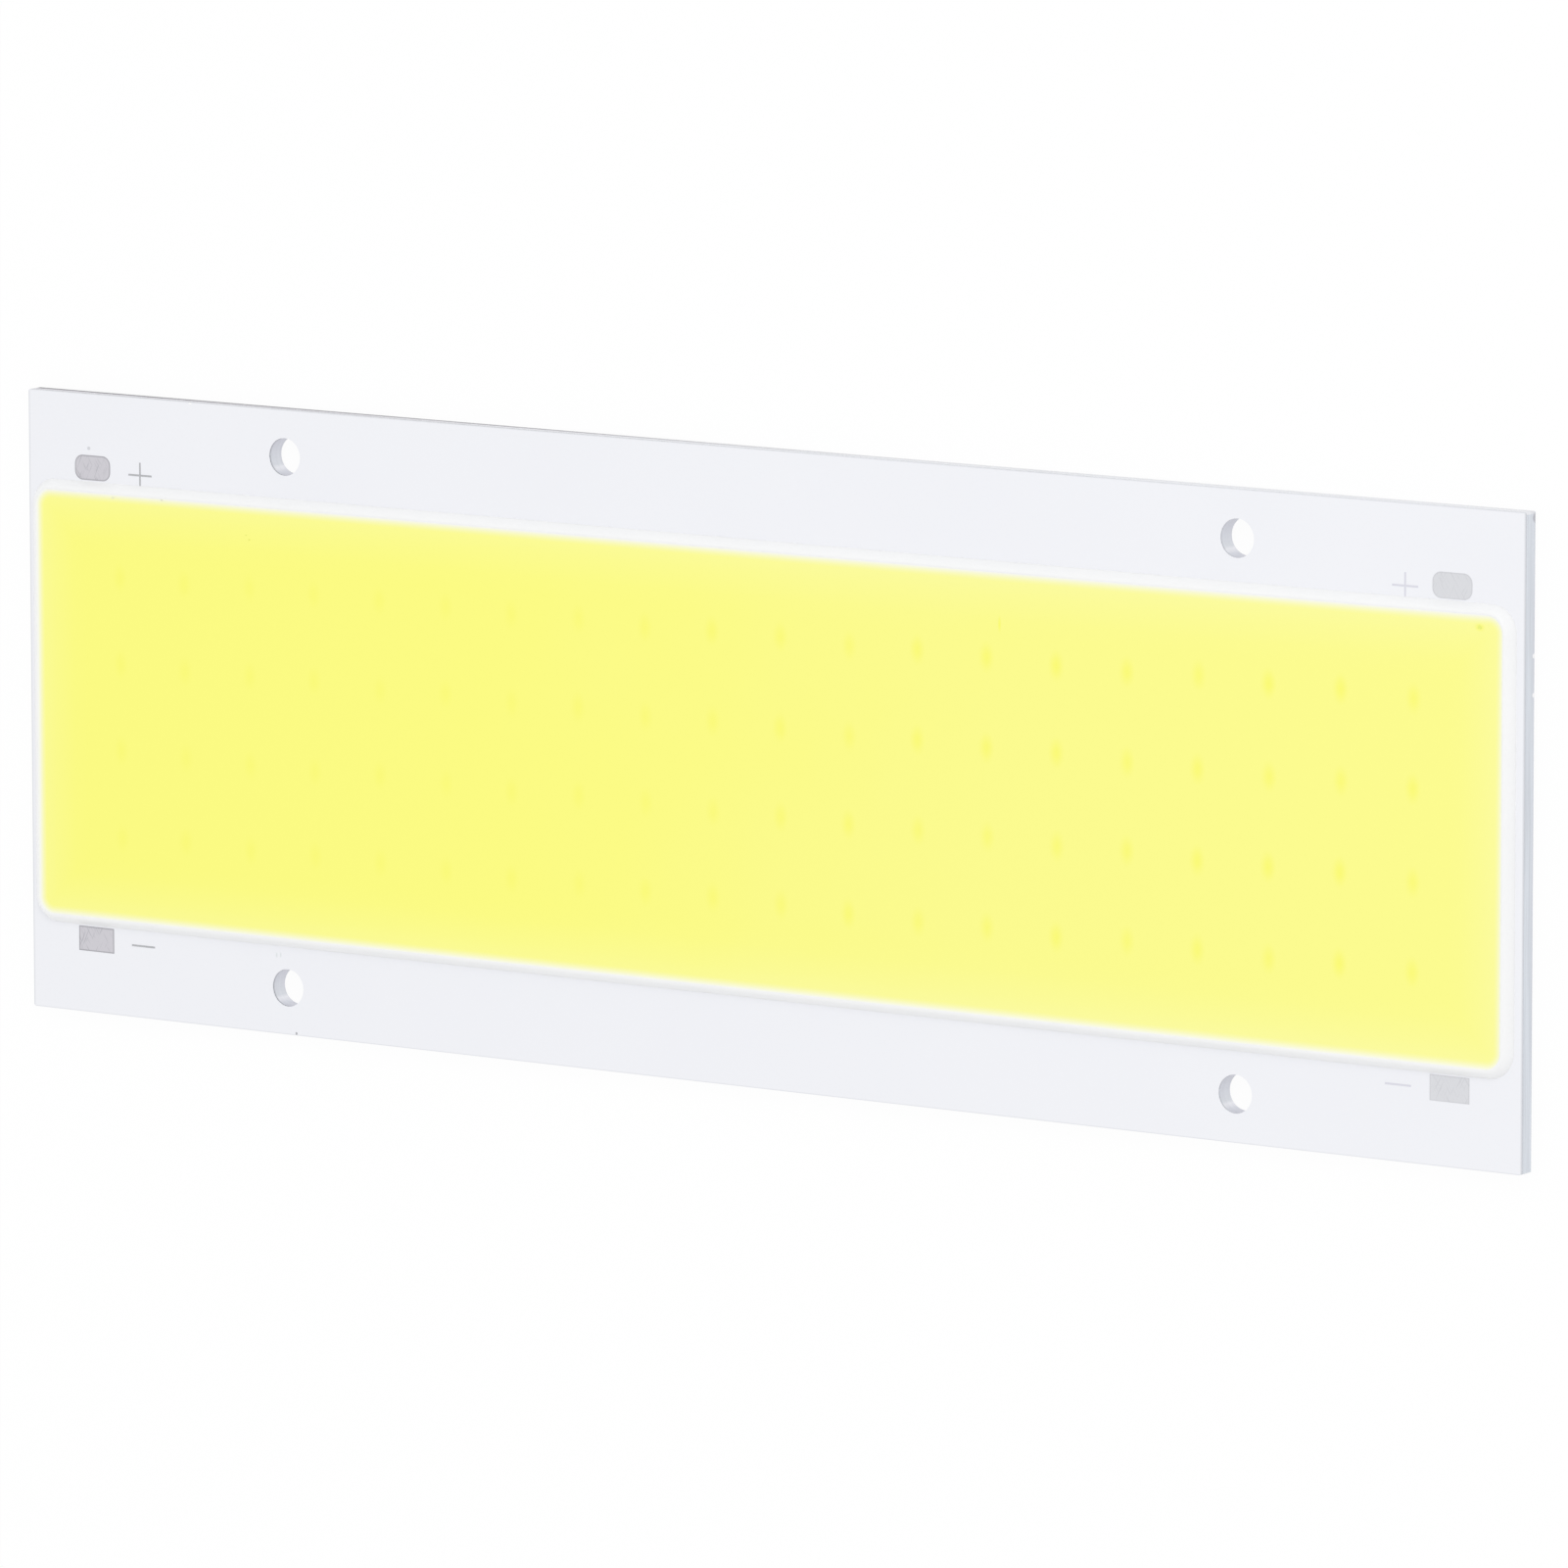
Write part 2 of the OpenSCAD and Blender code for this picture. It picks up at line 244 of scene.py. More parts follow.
relief = add_node(aluminium, "ShaderNodeMix",
                  {"Factor": on_back.outputs[0], 2: shear.outputs[0], 3: rolling.outputs[0]})
bump = add_node(aluminium, "ShaderNodeBump",
                {"Height": relief.outputs[0], "Strength": 0.25, "Distance": RELIEF_DEPTH})
aluminium.node_tree.links.new(bump.outputs[0], shader.inputs["Normal"])
dress("base_plate", aluminium)


# ---- Insulation layer ----
# Epoxy filled with ceramic powder, pressed onto the plate. It shows only as a thin grey line
# under the white mask at the board's edge and at the rims of the holes, darkest at the left.
FILLER_DARK = "7B7F86"
FILLER_LIGHT = "C6C9D0"
FILLER_GRAIN = "8F939A"
FILLER_DARK_X = -40 * MM
FILLER_LIGHT_X = 50 * MM

insulation, shader = new_material("filled_epoxy", Roughness=0.6)
place = add_node(insulation, "ShaderNodeTexCoord").outputs["Object"]
grains = add_node(insulation, "ShaderNodeTexNoise", {"Vector": place, "Scale": 9000.0, "Detail": 2.0})
spot = add_node(insulation, "ShaderNodeSeparateXYZ", {0: place})
along = add_node(insulation, "ShaderNodeMapRange",
                 {"Value": spot.outputs[0], "From Min": FILLER_DARK_X, "From Max": FILLER_LIGHT_X})
dark = add_node(insulation, "ShaderNodeMix",
                {0: grains.outputs[0], 6: linear(FILLER_DARK), 7: linear(FILLER_GRAIN)}, data_type="RGBA")
colour = add_node(insulation, "ShaderNodeMix",
                  {0: along.outputs[0], 6: dark.outputs[2], 7: linear(FILLER_LIGHT)}, data_type="RGBA")
insulation.node_tree.links.new(colour.outputs[2], shader.inputs["Base Color"])
dress("insulation_layer", insulation)


# ---- Copper ----
# Foil etched into two buses and three link tracks. It lies under the mask and the fill.
COPPER_DARK = "B5714D"
COPPER_BRIGHT = "D59A74"

copper, shader = new_material("etched_copper", Metallic=1.0, Roughness=0.42)
place = add_node(copper, "ShaderNodeTexCoord").outputs["Object"]
tarnish = add_node(copper, "ShaderNodeTexNoise", {"Vector": place, "Scale": 400.0, "Detail": 5.0})
colour = add_node(copper, "ShaderNodeMix", {0: tarnish.outputs[0], 6: linear(COPPER_DARK),
                                            7: linear(COPPER_BRIGHT)}, data_type="RGBA")
copper.node_tree.links.new(colour.outputs[2], shader.inputs["Base Color"])
for name in ("positive_bus", "negative_bus", "link_track_1", "link_track_2", "link_track_3"):
    dress(name, copper)


# ---- Solder mask ----
# White epoxy ink, screened over the whole face and baked. It is satin, very slightly uneven
# where it flowed, and open only at the pads and round the chips.
MASK_WHITE = "F3F4F8"
MASK_SHADE = "F0F1F6"
MASK_FLOW_MM = 0.6
MASK_RIM = "D9DBE0"
RIM_HALF = (69.86 * MM, 24.9 * MM, 0)
RIM_SOFT = 0.12 * MM
INK_DIMPLE = 0.01 * MM

mask_ink, shader = new_material("white_mask_ink", Roughness=0.5, IOR=1.5)
place = add_node(mask_ink, "ShaderNodeTexCoord").outputs["Object"]
clouding = add_node(mask_ink, "ShaderNodeTexNoise", {"Vector": place, "Scale": 60.0, "Detail": 3.0})
clouded = add_node(mask_ink, "ShaderNodeMix",
                   {0: clouding.outputs[0], 6: linear(MASK_SHADE), 7: linear(MASK_WHITE)}, data_type="RGBA")
# The mask turns darker grey over the last tenth of a millimetre before the board's cut edge.
mirrored = add_node(mask_ink, "ShaderNodeVectorMath", {0: place}, operation="ABSOLUTE")
past_rim = add_node(mask_ink, "ShaderNodeVectorMath", {0: mirrored.outputs[0], 1: RIM_HALF},
                    operation="SUBTRACT")
sides = add_node(mask_ink, "ShaderNodeSeparateXYZ", {0: past_rim.outputs[0]})
nearest = add_node(mask_ink, "ShaderNodeMath", {0: sides.outputs[0], 1: sides.outputs[1]},
                   operation="MAXIMUM")
near_cut_edge = add_node(mask_ink, "ShaderNodeMapRange", {"Value": nearest.outputs[0], "From Max": RIM_SOFT})
colour = add_node(mask_ink, "ShaderNodeMix",
                  {0: near_cut_edge.outputs[0], 6: clouded.outputs[2], 7: linear(MASK_RIM)}, data_type="RGBA")
mask_ink.node_tree.links.new(colour.outputs[2], shader.inputs["Base Color"])
flow = add_node(mask_ink, "ShaderNodeTexNoise",
                {"Vector": place, "Scale": 1 / (MASK_FLOW_MM * MM), "Detail": 2.0})
bump = add_node(mask_ink, "ShaderNodeBump",
                {"Height": flow.outputs[0], "Strength": 0.15, "Distance": INK_DIMPLE})
mask_ink.node_tree.links.new(bump.outputs[0], shader.inputs["Normal"])
dress("solder_mask", mask_ink)


# ---- Solder pads ----
# Copper lands levelled with tin. The tin is soft and dull, and the test probes have left fine
# scratches across it.
TIN_LEFT = "CFCDD3"
TIN_RIGHT = "DBDCE0"
TIN_DULL = "AFAEB5"
# Painted shadow along each pad's outline.
TIN_RIM_SHADOW = "9D9CA2"
TIN_LEFT_X = -60 * MM
TIN_RIGHT_X = 60 * MM
SCRATCH_WIDTH = 0.12 * MM
SCRATCH_LENGTH = 1.6 * MM
SCRATCH_SLANTS = (64, -58)
SCRATCH_DEPTH = 0.01 * MM
DEEP_FROM_X = -62 * MM
DEEP_FULL_X = -63.5 * MM
PAD_CORNER = 0.75 * MM
RIM_SHADOW_WIDTH = 0.13 * MM

tin, shader = new_material("levelled_tin", Metallic=0.6, Roughness=0.45)
place = add_node(tin, "ShaderNodeTexCoord").outputs["Object"]
spot = add_node(tin, "ShaderNodeSeparateXYZ", {0: place})
along = add_node(tin, "ShaderNodeMapRange",
                 {"Value": spot.outputs[0], "From Min": TIN_LEFT_X, "From Max": TIN_RIGHT_X})
body = add_node(tin, "ShaderNodeMix", {0: along.outputs[0], 6: linear(TIN_LEFT), 7: linear(TIN_RIGHT)},
                data_type="RGBA")
# The scratches cross each other at two slants, and are deepest in the pads at the left.
scratched = None
for slant in SCRATCH_SLANTS:
    lay = add_node(tin, "ShaderNodeMapping",
                   {"Vector": place, "Rotation": (0, 0, math.radians(slant)),
                    "Scale": (SCRATCH_LENGTH, SCRATCH_WIDTH, 1)}, vector_type="TEXTURE")
    scratch = add_node(tin, "ShaderNodeTexNoise", {"Vector": lay.outputs[0], "Scale": 1.0, "Detail": 1.0})
    if scratched is None:
        scratched = scratch
    else:
        scratched = add_node(tin, "ShaderNodeMath", {0: scratched.outputs[0], 1: scratch.outputs[0]},
                             operation="MAXIMUM")
deep = add_node(tin, "ShaderNodeMapRange", {"Value": spot.outputs[0], "From Min": DEEP_FULL_X,
                                            "From Max": DEEP_FROM_X, "To Min": 0.9, "To Max": 0.25})
wear = add_node(tin, "ShaderNodeMapRange",
                {"Value": scratched.outputs[0], "From Min": 0.6, "From Max": 0.72})
wear = add_node(tin, "ShaderNodeMath", {0: wear.outputs[0], 1: deep.outputs[0]}, operation="MULTIPLY")
scuffed = add_node(tin, "ShaderNodeMix", {0: wear.outputs[0], 6: body.outputs[2], 7: linear(TIN_DULL)},
                   data_type="RGBA")
# Painted shadow along the pad's outline, where the mask's edge shades the tin: how far a point lies
# inside the pad's edge.
pad_low, pad_high = (Vector(corner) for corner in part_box("positive_pad_right"))
pad_middle = (pad_low + pad_high) / 2
pad_half = (pad_high - pad_low) / 2
mirrored = add_node(tin, "ShaderNodeVectorMath", {0: place}, operation="ABSOLUTE")
from_pad = add_node(tin, "ShaderNodeVectorMath", {0: mirrored.outputs[0], 1: pad_middle},
                    operation="SUBTRACT")
folded = add_node(tin, "ShaderNodeVectorMath", {0: from_pad.outputs[0]}, operation="ABSOLUTE")
flat = add_node(tin, "ShaderNodeVectorMath", {0: folded.outputs[0], 1: (1, 1, 0)}, operation="MULTIPLY")
is_positive = add_node(tin, "ShaderNodeMath", {0: spot.outputs[1], 1: 0.0}, operation="GREATER_THAN")
radius = add_node(tin, "ShaderNodeMath", {0: is_positive.outputs[0], 1: PAD_CORNER}, operation="MULTIPLY")
both_ways = add_node(tin, "ShaderNodeCombineXYZ", {0: radius.outputs[0], 1: radius.outputs[0]})
straight = add_node(tin, "ShaderNodeVectorMath", {0: both_ways.outputs[0], 1: (pad_half.x, pad_half.y, 0)},
                    operation="SUBTRACT")
past_straight = add_node(tin, "ShaderNodeVectorMath", {0: flat.outputs[0], 1: straight.outputs[0]},
                         operation="ADD")
corner = add_node(tin, "ShaderNodeVectorMath", {0: past_straight.outputs[0], 1: (0, 0, 0)},
                  operation="MAXIMUM")
outside = add_node(tin, "ShaderNodeVectorMath", {0: corner.outputs[0]}, operation="LENGTH")
sides = add_node(tin, "ShaderNodeSeparateXYZ", {0: past_straight.outputs[0]})
nearer = add_node(tin, "ShaderNodeMath", {0: sides.outputs[0], 1: sides.outputs[1]}, operation="MAXIMUM")
inside = add_node(tin, "ShaderNodeMath", {0: nearer.outputs[0], 1: 0.0}, operation="MINIMUM")
signed = add_node(tin, "ShaderNodeMath", {0: outside.outputs["Value"], 1: inside.outputs[0]},
                  operation="ADD")
signed = add_node(tin, "ShaderNodeMath", {0: signed.outputs[0], 1: radius.outputs[0]}, operation="SUBTRACT")
painted_rim_shadow = add_node(tin, "ShaderNodeMapRange",
                   {"Value": signed.outputs[0], "From Min": -RIM_SHADOW_WIDTH, "From Max": -RIM_SHADOW_WIDTH / 3})
# The painted shadow is deeper towards the left.
dark_left = add_node(tin, "ShaderNodeMapRange", {"Value": along.outputs[0], "To Min": 0.8, "To Max": 0.15})
painted_rim_shadow = add_node(tin, "ShaderNodeMath", {0: painted_rim_shadow.outputs[0], 1: dark_left.outputs[0]},
                   operation="MULTIPLY")
colour = add_node(tin, "ShaderNodeMix",
                  {0: painted_rim_shadow.outputs[0], 6: scuffed.outputs[2], 7: linear(TIN_RIM_SHADOW)}, data_type="RGBA")
tin.node_tree.links.new(colour.outputs[2], shader.inputs["Base Color"])
bump = add_node(tin, "ShaderNodeBump",
                {"Height": wear.outputs[0], "Strength": 0.3, "Distance": -SCRATCH_DEPTH})
tin.node_tree.links.new(bump.outputs[0], shader.inputs["Normal"])
for name in ("positive_pad_left", "positive_pad_right", "negative_pad_left", "negative_pad_right"):
    dress(name, tin)


# ---- Polarity marks ----
# A plus beside each positive pad and a minus beside each negative one, screened in grey ink in
# the same pass, 0.15 mm wide and only a hundredth of a millimetre thick.
INK_DARK = "A4A5A9"
INK_LIGHT = "C2C3C6"
INK_DRY = "DCDCE6"
DRY_FROM_X = -20 * MM
DRY_TO_X = 55 * MM
MARK_LINE = 0.15 * MM
MARK_INK = 0.01 * MM
PLUS_SIZE = (2.3 * MM, 2.05 * MM)
MINUS_LENGTH = 2.3 * MM
OUTER_ROW = 0.3
MARK_PLACES = (
    ("plus_mark_left", -58.92 * MM, 18.77 * MM, True),
    ("plus_mark_right", 59.5 * MM, 18.75 * MM, True),
    ("minus_mark_left", -58.95 * MM, -19.19 * MM, False),
    ("minus_mark_right", 59.1 * MM, -19.13 * MM, False),
)

ink, shader = new_material("grey_screen_ink", Roughness=0.55)
place = add_node(ink, "ShaderNodeTexCoord").outputs["Object"]
screen = add_node(ink, "ShaderNodeTexNoise", {"Vector": place, "Scale": 9000.0, "Detail": 1.0})
printed = add_node(ink, "ShaderNodeMix", {0: screen.outputs[0], 6: linear(INK_DARK), 7: linear(INK_LIGHT)},
                   data_type="RGBA")
# The squeegee ran dry towards the right-hand end, so the marks there are paler.
spot = add_node(ink, "ShaderNodeSeparateXYZ", {0: place})
along = add_node(ink, "ShaderNodeMapRange",
                 {"Value": spot.outputs[0], "From Min": DRY_FROM_X, "From Max": DRY_TO_X, "To Max": 0.95})
colour = add_node(ink, "ShaderNodeMix", {0: along.outputs[0], 6: printed.outputs[2], 7: linear(INK_DRY)},
                  data_type="RGBA")
ink.node_tree.links.new(colour.outputs[2], shader.inputs["Base Color"])


def select_where(piece, kind, wanted):
    """In edit mode, selects the vertices, edges or faces whose middle passes wanted, and nothing else."""
    bpy.ops.mesh.select_mode(type={"verts": "VERT", "edges": "EDGE", "faces": "FACE"}[kind])
    mesh = bmesh.from_edit_mesh(piece.data)
    for face in mesh.faces:
        face.select_set(False)
    for edge in mesh.edges:
        edge.select_set(False)
    for vertex in mesh.verts:
        vertex.select_set(False)
    for part in getattr(mesh, kind):
        if kind == "verts":
            middle = part.co
        elif kind == "edges":
            middle = (part.verts[0].co + part.verts[1].co) / 2
        else:
            middle = part.calc_center_median()
        if wanted(middle):
            part.select_set(True)
    bmesh.update_edit_mesh(piece.data)


def finish_piece(piece, name, material):
    """Puts the piece's place into its mesh, names it, and gives it its finish and its body."""
    bpy.ops.object.mode_set(mode="OBJECT")
    bpy.ops.object.transform_apply(location=True, rotation=True, scale=True)
    piece.name = name
    piece.data.name = name
    piece.data.materials.clear()
    piece.data.materials.append(material)
    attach(piece, "root")


for name, x, y, is_plus in MARK_PLACES:
    bpy.ops.object.select_all(action="DESELECT")
    bpy.ops.mesh.primitive_grid_add(x_subdivisions=3, y_subdivisions=3, size=1,
                                    location=(x, y, face_centre.z))
    mark = bpy.context.object
    half_length = PLUS_SIZE[0] / 2 if is_plus else MINUS_LENGTH / 2
    half_height = PLUS_SIZE[1] / 2 if is_plus else MARK_LINE / 2
    for vertex in mark.data.vertices:
        outer = abs(vertex.co.x) > OUTER_ROW
        vertex.co.x = math.copysign(half_length if outer else MARK_LINE / 2, vertex.co.x)
        outer = abs(vertex.co.y) > OUTER_ROW
        vertex.co.y = math.copysign(half_height if outer else MARK_LINE / 4, vertex.co.y)
    bpy.ops.object.mode_set(mode="EDIT")
    if is_plus:
        for vertex in bmesh.from_edit_mesh(mark.data).verts:
            if abs(vertex.co.y) < MARK_LINE:
                vertex.co.y *= 2
        select_where(mark, "faces", lambda c: abs(c.x) > MARK_LINE and abs(c.y) > MARK_LINE)
        bpy.ops.mesh.delete(type="FACE")
    bpy.ops.mesh.select_all(action="SELECT")
    bpy.ops.mesh.extrude_region_move(TRANSFORM_OT_translate={"value": (0, 0, MARK_INK)})
    bpy.ops.mesh.select_all(action="SELECT")
    bpy.ops.mesh.normals_make_consistent(inside=False)
    finish_piece(mark, name, ink)


# ---- Chips, their adhesive and their wires ----
# Eighty blue chips of gallium nitride on sapphire, glued to the board in four rows of twenty and
# joined to the copper by two gold wires each. They lie under the fill, and only their shadows show.
GLUE_DULL = "E4E4E0"
GLUE_PALE = "F2F2EE"
SAPPHIRE_DEEP = "7F9CC0"
SAPPHIRE_PALE = "A9C0DA"
GOLD_DEEP = "E2B45C"
GOLD_BRIGHT = "F2CE86"

adhesive, shader = new_material("chip_adhesive", Roughness=0.5)
place = add_node(adhesive, "ShaderNodeTexCoord").outputs["Object"]
haze = add_node(adhesive, "ShaderNodeTexNoise", {"Vector": place, "Scale": 3000.0})
colour = add_node(adhesive, "ShaderNodeMix",
                  {0: haze.outputs[0], 6: linear(GLUE_DULL), 7: linear(GLUE_PALE)}, data_type="RGBA")
adhesive.node_tree.links.new(colour.outputs[2], shader.inputs["Base Color"])

sapphire, shader = new_material("sapphire_chip", Roughness=0.15, IOR=1.77)
place = add_node(sapphire, "ShaderNodeTexCoord").outputs["Object"]
bloom = add_node(sapphire, "ShaderNodeTexNoise", {"Vector": place, "Scale": 2500.0})
colour = add_node(sapphire, "ShaderNodeMix", {0: bloom.outputs[0], 6: linear(SAPPHIRE_DEEP),
                                              7: linear(SAPPHIRE_PALE)}, data_type="RGBA")
sapphire.node_tree.links.new(colour.outputs[2], shader.inputs["Base Color"])

gold, shader = new_material("drawn_gold_wire", Metallic=1.0, Roughness=0.22)
place = add_node(gold, "ShaderNodeTexCoord").outputs["Object"]
draw_marks = add_node(gold, "ShaderNodeTexNoise", {"Vector": place, "Scale": 20000.0})
colour = add_node(gold, "ShaderNodeMix", {0: draw_marks.outputs[0], 6: linear(GOLD_DEEP),
                                          7: linear(GOLD_BRIGHT)}, data_type="RGBA")
gold.node_tree.links.new(colour.outputs[2], shader.inputs["Base Color"])

for row in (1, 2, 3, 4):
    dress(f"chip_adhesive_row_{row}", adhesive)
    dress(f"led_chips_row_{row}", sapphire)
    dress(f"bond_wires_row_{row}", gold)


# ---- Dam ----
# One closed bead of thick white silicone, laid on the mask by a dispensing needle and cured. It
# is nearly half round, runs out thin at its foot, and is satin and a shade whiter than the mask.
BEAD_WIDTH = 1.328 * MM
BEAD_TOE = 0.03 * MM
BEAD_HEIGHT = 0.79 * MM
BEAD_FULLNESS = 1.35
BEAD_CORNER = 1.45 * MM
BEAD_STEPS = 32
BEAD_CORNER_STEPS = 14
BEAD_SMOOTH_DEGREES = 40
WELD = 0.0005 * MM
AT_THE_FOOT = 0.0001 * MM
SILICONE_SHADE = "F4F5F6"
SILICONE_WHITE = "F8F8F8"
SCATTER_DEPTH = 0.4 * MM

dam_low, dam_high = (Vector(corner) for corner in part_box("dam"))
dam_centre = (dam_low + dam_high) / 2
bead_length = dam_high.x - dam_low.x - BEAD_WIDTH
bead_span = dam_high.y - dam_low.y - BEAD_WIDTH
mask_top = dam_low.z

silicone, shader = new_material("white_silicone", Roughness=0.5, IOR=1.41, Subsurface_Weight=0.1,
                                Subsurface_Radius=(1.0, 1.0, 1.0), Subsurface_Scale=SCATTER_DEPTH)
place = add_node(silicone, "ShaderNodeTexCoord").outputs["Object"]
milkiness = add_node(silicone, "ShaderNodeTexNoise", {"Vector": place, "Scale": 150.0, "Detail": 3.0})
colour = add_node(silicone, "ShaderNodeMix", {0: milkiness.outputs[0], 6: linear(SILICONE_SHADE),
                                              7: linear(SILICONE_WHITE)}, data_type="RGBA")
silicone.node_tree.links.new(colour.outputs[2], shader.inputs["Base Color"])

# The section of the bead: the silicone sags a little and wets the mask, so it meets it at a slope.
bpy.ops.object.select_all(action="DESELECT")
bpy.ops.mesh.primitive_circle_add(vertices=2 * BEAD_STEPS, radius=1)
section = bpy.context.object
bpy.ops.object.mode_set(mode="EDIT")
select_where(section, "verts", lambda c: c.y < -0.01)
bpy.ops.mesh.delete(type="VERT")
for point in bmesh.from_edit_mesh(section.data).verts:
    point.co.y = BEAD_HEIGHT * max(0, 1 - point.co.x ** 2) ** BEAD_FULLNESS
    point.co.x *= BEAD_WIDTH / 2 + BEAD_TOE
bpy.ops.object.mode_set(mode="OBJECT")
bpy.ops.object.convert(target="CURVE")

# The path of the needle, swept with that section.
bpy.ops.object.select_all(action="DESELECT")
bpy.ops.mesh.primitive_plane_add(size=1, location=(dam_centre.x, dam_centre.y, mask_top))
bead = bpy.context.object
bead.scale = (bead_length, bead_span, 1)
bpy.ops.object.transform_apply(location=False, rotation=False, scale=True)
bpy.ops.object.mode_set(mode="EDIT")
bpy.ops.mesh.select_all(action="SELECT")
bpy.ops.mesh.bevel(offset=BEAD_CORNER, segments=BEAD_CORNER_STEPS, affect="VERTICES")
bpy.ops.mesh.select_all(action="SELECT")
bpy.ops.mesh.delete(type="ONLY_FACE")
bpy.ops.object.mode_set(mode="OBJECT")
bpy.ops.object.convert(target="CURVE")
bead.data.twist_mode = "Z_UP"
bead.data.bevel_mode = "OBJECT"
bead.data.bevel_object = section
bpy.ops.object.convert(target="MESH")
bpy.data.objects.remove(section)
bpy.ops.object.transform_apply(location=True, rotation=False, scale=False)
bpy.ops.object.mode_set(mode="EDIT")
bpy.ops.mesh.select_all(action="SELECT")
bpy.ops.mesh.remove_doubles(threshold=WELD)
select_where(bead, "edges", lambda c: c.z < mask_top + AT_THE_FOOT)
bpy.ops.mesh.bridge_edge_loops()
bpy.ops.mesh.select_all(action="SELECT")
bpy.ops.mesh.normals_make_consistent(inside=False)
bpy.ops.object.mode_set(mode="OBJECT")
bpy.ops.object.shade_smooth_by_angle(angle=math.radians(BEAD_SMOOTH_DEGREES))
finish_piece(bead, "dam_bead", silicone)
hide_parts("dam")


# ---- Phosphor fill ----
# Clear silicone with yellow phosphor powder, poured level inside the dam and cured. It wets the
# dam and thins out over its inner slope, so the yellow fades to white there. Under it each chip
# shows as a short darker dash.
FILL_DEEP = "FDFC7E"
FILL_PALE = "FCFB8B"
FILL_SHADOW = "FAF964"
FILL_RIM = "F9FAF3"
THINNING = ((0.1, 0.97), (0.2, 0.76), (0.35, 0.52), (0.5, 0.32), (0.65, 0.175), (0.8, 0.1), (1.75, 0.06),
            (3.7, 0.01), (5.0, 0.0))
FILL_LEAN = 0.12 * MM
FILL_SMOOTH_DEGREES = 50
SETTLED_FROM_X = -15 * MM
SETTLED_TO_X = 45 * MM
CLOUD_REACH_M = 0.03
SWELL_DEPTH = 0.03 * MM
RIM_INSET = 0.02 * MM
RIM_HEIGHT = 0.77 * MM
RIM_STEPS = ((0.08 * MM, 0.771 * MM), (0.08 * MM, 0.758 * MM), (0.12 * MM, 0.74 * MM),
             (0.16 * MM, 0.728 * MM),
             (0.3 * MM, 0.721 * MM))
CHIP_PITCH = (6.375 * MM, 6.97 * MM)
CHIP_COLUMNS = 20
CHIP_ROWS = 4
DASH_HALF = (0.42 * MM, 0.72 * MM)
DASH_MIDDLE = (0.5335, 0.5325, 0)
DASH_WANDER = (0.02, 0.045, 0)
DASH_FAINT = 0.42
DASH_CLEAR = 0.77
CLEARER_FROM_X = -25 * MM
CLEARER_TO_X = 30 * MM
# A clot of powder, and a painted shadow of a bond wire.
CLOTS_AND_WIRE_SHADOW = (((66.5, 16.23, 0), (0.4, 0.28), 1.0), ((23.6, 13.2, 0), (0.12, 0.55), 0.8))

phosphor, shader = new_material("phosphor_silicone", Roughness=0.5, IOR=1.41)
place = add_node(phosphor, "ShaderNodeTexCoord").outputs["Object"]

# How far a point lies inside the round-cornered line along the middle of the bead. The fill
# stands a little higher at the right-hand end, so it is taken a hair past the middle there.
straight = (bead_length / 2 - BEAD_CORNER, bead_span / 2 - BEAD_CORNER, 0)
from_middle = add_node(phosphor, "ShaderNodeVectorMath",
                       {0: place, 1: (dam_centre.x + FILL_LEAN, dam_centre.y, 0)}, operation="SUBTRACT")
folded = add_node(phosphor, "ShaderNodeVectorMath", {0: from_middle.outputs[0]}, operation="ABSOLUTE")
flat = add_node(phosphor, "ShaderNodeVectorMath", {0: folded.outputs[0], 1: (1, 1, 0)},
                operation="MULTIPLY")
past = add_node(phosphor, "ShaderNodeVectorMath", {0: flat.outputs[0], 1: straight}, operation="SUBTRACT")
past_straight = past.outputs[0]
corner = add_node(phosphor, "ShaderNodeVectorMath", {0: past_straight, 1: (0, 0, 0)}, operation="MAXIMUM")
outside = add_node(phosphor, "ShaderNodeVectorMath", {0: corner.outputs[0]},
                   operation="LENGTH").outputs["Value"]
sides = add_node(phosphor, "ShaderNodeSeparateXYZ", {0: past_straight})
nearer = add_node(phosphor, "ShaderNodeMath", {0: sides.outputs[0], 1: sides.outputs[1]},
                  operation="MAXIMUM")
inside = add_node(phosphor, "ShaderNodeMath", {0: nearer.outputs[0], 1: 0.0}, operation="MINIMUM")
signed = add_node(phosphor, "ShaderNodeMath", {0: outside, 1: inside.outputs[0]}, operation="ADD")
depth = add_node(phosphor, "ShaderNodeMath", {0: BEAD_CORNER, 1: signed.outputs[0]}, operation="SUBTRACT")
reach = add_node(phosphor, "ShaderNodeMapRange",
                 {"Value": depth.outputs[0], "From Min": 0.0, "From Max": THINNING[-1][0] * MM})
thinness = add_node(phosphor, "ShaderNodeValToRGB", {"Fac": reach.outputs[0]})
stops = thinness.color_ramp.elements
stops[0].position, stops[1].position = 0, 1
stops[0].color, stops[1].color = (1, 1, 1, 1), (0, 0, 0, 1)
for inward, white in THINNING[:-1]:
    stops.new(inward / THINNING[-1][0]).color = (white, white, white, 1)

# The powder has settled a little more densely towards the left-hand end.
cloud = add_node(phosphor, "ShaderNodeTexNoise", {"Vector": place, "Scale": 60.0, "Detail": 3.0})
along = add_node(phosphor, "ShaderNodeSeparateXYZ", {0: place})
drift = add_node(phosphor, "ShaderNodeMath", {0: cloud.outputs[0], 1: CLOUD_REACH_M, 2: along.outputs[0]},
                 operation="MULTIPLY_ADD")
settled = add_node(phosphor, "ShaderNodeMapRange",
                   {"Value": drift.outputs[0], "From Min": SETTLED_FROM_X,
                    "From Max": SETTLED_TO_X}, interpolation_type="SMOOTHSTEP")
body = add_node(phosphor, "ShaderNodeMix",
                {0: settled.outputs[0], 6: linear(FILL_DEEP), 7: linear(FILL_PALE)}, data_type="RGBA")

